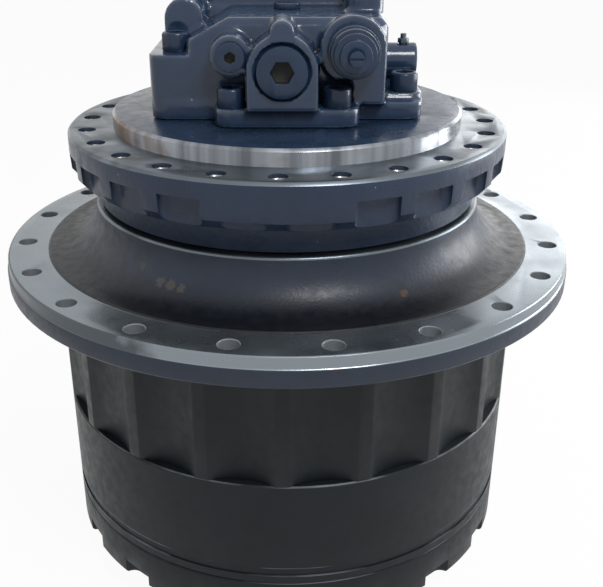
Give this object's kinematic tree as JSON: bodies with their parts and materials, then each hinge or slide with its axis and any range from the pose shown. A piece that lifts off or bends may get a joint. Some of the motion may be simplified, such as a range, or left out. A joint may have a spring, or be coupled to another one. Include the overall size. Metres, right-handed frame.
{
  "type": "excavator final drive",
  "caption": "Tracked-excavator final drive: hydraulic travel motor with valve block, spindle and frame flange, in a fluted sprocket hub with planetary reduction.",
  "frame": {"origin": "on the hub axis, at the underside of the end cover", "axes": "+Z along the hub axis from the end cover to the motor; -Y is the side with the plugs, as pictured"},
  "size_m": [0.5359, 0.536, 0.552],
  "materials": {
    "casing_paint": "satin blue-grey paint over cast iron",
    "block_paint": "glossy slate-blue paint over cast iron",
    "hub_iron": "ductile iron, turned flange, painted skirt",
    "drum_paint": "satin charcoal paint over steel",
    "screw_steel": "painted-over alloy steel screws",
    "plug_steel": "steel plugs and valve caps",
    "gear_steel": "ground case-hardened steel",
    "carrier_iron": "machined ductile iron",
    "bearing_steel": "ground bearing steel",
    "shaft_steel": "turned and ground steel",
    "bronze": "bronze bearing faces",
    "seal_rubber": "nitrile rubber"
  },
  "bodies": {
    "casing": {"motor_casing": "casing_paint", "valve_block": "block_paint", "valve_block_bolts": "screw_steel", "spool_plugs": "plug_steel", "spool_springs": "shaft_steel", "gallery_plugs": "plug_steel", "relief_valves": "plug_steel", "relief_adjusters": "plug_steel", "bleed_nipple": "plug_steel", "valve_plate": "bronze", "swash_plate": "carrier_iron", "swash_pivots": "bearing_steel", "tilt_piston": "bearing_steel", "brake_steel_plates": "shaft_steel", "brake_springs": "shaft_steel", "second_carrier": "carrier_iron", "second_pins": "bearing_steel", "second_needles": "bearing_steel", "second_washers": "bearing_steel", "bearing_inner_rings": "bearing_steel", "bearing_nut": "bearing_steel", "seal_ring_fixed": "bearing_steel", "seal_rubber_fixed": "seal_rubber", "shaft_outer_rings": "bearing_steel", "oil_seal": "seal_rubber"},
    "hub": {"hub": "hub_iron", "ring_gear": "drum_paint", "end_cover": "drum_paint", "drum_bolts": "screw_steel", "cover_plugs": "plug_steel", "thrust_button": "bearing_steel", "bearing_outer_rings": "bearing_steel", "seal_ring_turning": "bearing_steel", "seal_rubber_turning": "seal_rubber"},
    "main_roller_sets": {"main_rollers": "bearing_steel"},
    "first_stage": {"first_carrier": "carrier_iron", "first_pins": "bearing_steel", "first_needles": "bearing_steel", "first_washers": "bearing_steel", "second_sun": "gear_steel"},
    "rotor": {"input_sun": "gear_steel", "shaft_coupling": "shaft_steel", "drive_shaft": "shaft_steel", "cylinder_block": "shaft_steel", "pistons": "shaft_steel", "piston_shoes": "bronze", "shoe_retainer": "shaft_steel", "retainer_guide": "shaft_steel", "brake_friction_plates": "bronze", "shaft_inner_rings": "bearing_steel"},
    "shaft_roller_sets": {"shaft_rollers": "bearing_steel"},
    "brake_piston": {"brake_piston": "carrier_iron"},
    "counterbalance_spool": {"counterbalance_spool": "shaft_steel"},
    "speed_spool": {"speed_spool": "shaft_steel"},
    "first_planet_1": {"first_planet_1": "gear_steel"},
    "first_planet_2": {"first_planet_2": "gear_steel"},
    "first_planet_3": {"first_planet_3": "gear_steel"},
    "second_planet_1": {"second_planet_1": "gear_steel"},
    "second_planet_2": {"second_planet_2": "gear_steel"},
    "second_planet_3": {"second_planet_3": "gear_steel"}
  },
  "joints": [
    {"name": "hub_spin", "type": "hinge", "parent": "casing", "child": "hub", "pos_m": [0, 0, 0.25], "axis": [0, 0, 1], "continuous": true},
    {"name": "main_roller_orbit", "type": "hinge", "parent": "casing", "child": "main_roller_sets", "pos_m": [0, 0, 0.29], "axis": [0, 0, 1], "continuous": true},
    {"name": "first_carrier_spin", "type": "hinge", "parent": "casing", "child": "first_stage", "pos_m": [0, 0, 0.113], "axis": [0, 0, 1], "continuous": true},
    {"name": "rotor_spin", "type": "hinge", "parent": "casing", "child": "rotor", "pos_m": [0, 0, 0.25], "axis": [0, 0, 1], "continuous": true},
    {"name": "shaft_roller_orbit", "type": "hinge", "parent": "casing", "child": "shaft_roller_sets", "pos_m": [0, 0, 0.25], "axis": [0, 0, 1], "continuous": true},
    {"name": "second_planet_1_spin", "type": "hinge", "parent": "casing", "child": "second_planet_1", "pos_m": [0, -0.1155, 0.15], "axis": [0, 0, 1], "continuous": true},
    {"name": "second_planet_2_spin", "type": "hinge", "parent": "casing", "child": "second_planet_2", "pos_m": [0.10003, 0.05775, 0.15], "axis": [0, 0, 1], "continuous": true},
    {"name": "second_planet_3_spin", "type": "hinge", "parent": "casing", "child": "second_planet_3", "pos_m": [-0.10003, 0.05775, 0.15], "axis": [0, 0, 1], "continuous": true},
    {"name": "first_planet_1_spin", "type": "hinge", "parent": "first_stage", "child": "first_planet_1", "pos_m": [0, -0.10725, 0.09], "axis": [0, 0, 1], "continuous": true},
    {"name": "first_planet_2_spin", "type": "hinge", "parent": "first_stage", "child": "first_planet_2", "pos_m": [0.09288, 0.05362, 0.09], "axis": [0, 0, 1], "continuous": true},
    {"name": "first_planet_3_spin", "type": "hinge", "parent": "first_stage", "child": "first_planet_3", "pos_m": [-0.09288, 0.05362, 0.09], "axis": [0, 0, 1], "continuous": true},
    {"name": "brake_release", "type": "slide", "parent": "casing", "child": "brake_piston", "axis": [0, 0, 1], "range_m": [0, 0.002], "stiffness_N_per_m": 20000, "deforming": ["brake_springs"]},
    {"name": "counterbalance_slide", "type": "slide", "parent": "casing", "child": "counterbalance_spool", "axis": [0, 1, 0], "range_m": [-0.006, 0.006], "stiffness_N_per_m": 3000},
    {"name": "speed_slide", "type": "slide", "parent": "casing", "child": "speed_spool", "axis": [0, -1, 0], "range_m": [0, 0.006], "stiffness_N_per_m": 500}
  ],
  "couplings": [
    {"joint": "main_roller_orbit", "follows": "hub_spin", "ratio": 0.531},
    {"joint": "first_carrier_spin", "follows": "hub_spin", "ratio": -3.6667},
    {"joint": "rotor_spin", "follows": "hub_spin", "ratio": -29.333},
    {"joint": "shaft_roller_orbit", "follows": "hub_spin", "ratio": -12.613},
    {"joint": "second_planet_1_spin", "follows": "hub_spin", "ratio": 2.75},
    {"joint": "second_planet_2_spin", "follows": "hub_spin", "ratio": 2.75},
    {"joint": "second_planet_3_spin", "follows": "hub_spin", "ratio": 2.75},
    {"joint": "first_planet_1_spin", "follows": "hub_spin", "ratio": 11.407},
    {"joint": "first_planet_2_spin", "follows": "hub_spin", "ratio": 11.407},
    {"joint": "first_planet_3_spin", "follows": "hub_spin", "ratio": 11.407}
  ]
}
